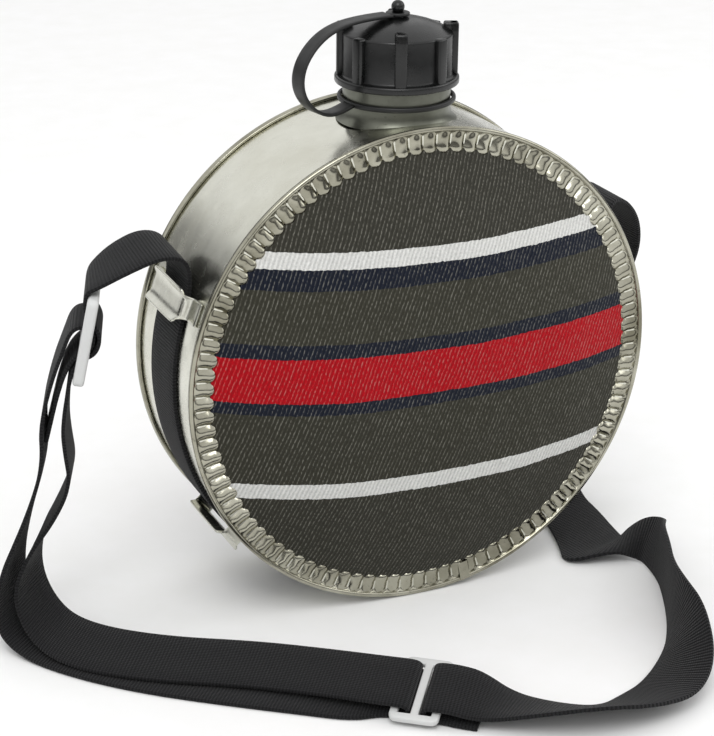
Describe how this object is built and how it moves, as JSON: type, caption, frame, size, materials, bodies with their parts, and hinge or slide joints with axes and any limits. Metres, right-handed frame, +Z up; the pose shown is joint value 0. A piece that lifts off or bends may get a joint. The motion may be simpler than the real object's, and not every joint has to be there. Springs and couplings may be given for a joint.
{
  "type": "canteen",
  "caption": "Round metal canteen with striped cloth sides, fluted rims, black screw cap on a tether and a webbing shoulder strap with sliders",
  "frame": {"origin": "on the ground below the middle of the flask", "axes": "+Z up through the neck, +Y from the front cloth side to the rear one, +X to the right seen from the front"},
  "size_m": [0.2823, 0.2016, 0.2305],
  "materials": {
    "plain_metal": "thin rolled sheet, satin with fine rolling marks",
    "rim_metal": "bright plated fluted strip",
    "neck_metal": "dull grey, slightly oxidised",
    "bracket_metal": "bent bright strip",
    "slider_plastic": "smooth pale moulded plastic",
    "cap_plastic": "satin black moulding",
    "tether_plastic": "soft black moulding",
    "gasket_rubber": "soft sealing rubber",
    "felt": "thick grey felt",
    "blanket_cloth": "woven wool in olive with stripes",
    "webbing": "ribbed woven cotton tape"
  },
  "bodies": {
    "flask": {"front_cover_cloth": "blanket_cloth", "front_felt_pad": "felt", "front_rim_ring": "rim_metal", "front_side_disc": "plain_metal", "lower_left_bracket": "bracket_metal", "lower_right_bracket": "bracket_metal", "lower_slider": "slider_plastic", "neck": "neck_metal", "rear_cover_cloth": "blanket_cloth", "rear_felt_pad": "felt", "rear_rim_ring": "rim_metal", "rear_side_disc": "plain_metal", "side_band": "plain_metal", "strap_body_run": "webbing", "strap_inner_ply": "webbing", "strap_left_arch": "webbing", "strap_outer_ply": "webbing", "strap_right_run": "webbing", "upper_left_bracket": "bracket_metal", "upper_right_bracket": "bracket_metal"},
    "swivel_ring": {"tether_ring": "tether_plastic", "tether_strap": "tether_plastic"},
    "eyelet": {"tether_eyelet": "tether_plastic"},
    "gasket": {"cap_gasket": "gasket_rubber"},
    "screw_cap": {"cap": "cap_plastic"},
    "strap_slider": {"upper_slider": "slider_plastic"}
  },
  "joints": [
    {"name": "tether_swivel", "type": "hinge", "parent": "flask", "child": "swivel_ring", "pos_m": [0, 0, 0.1944], "axis": [0, 0, 1], "continuous": true},
    {"name": "tether_lift", "type": "slide", "parent": "swivel_ring", "child": "eyelet", "axis": [0, 0, 1], "range_m": [0, 0.022], "deforming": ["tether_strap"]},
    {"name": "cap_lift", "type": "slide", "parent": "flask", "child": "gasket", "axis": [0, 0, 1], "range_m": [0, 0.022]},
    {"name": "cap_turn", "type": "hinge", "parent": "gasket", "child": "screw_cap", "pos_m": [0, 0, 0.21], "axis": [0, 0, 1], "range_deg": [0, 1981]},
    {"name": "upper_slider_slide", "type": "slide", "parent": "flask", "child": "strap_slider", "axis": [0.1941, -0.07, 0.9785], "range_m": [-0.01, 0.01], "deforming": ["strap_left_arch", "strap_inner_ply", "strap_outer_ply"]}
  ],
  "couplings": [
    {"joint": "tether_lift", "follows": "cap_lift", "ratio": 1},
    {"joint": "cap_turn", "follows": "cap_lift", "rad_per_m": 1570.8}
  ]
}
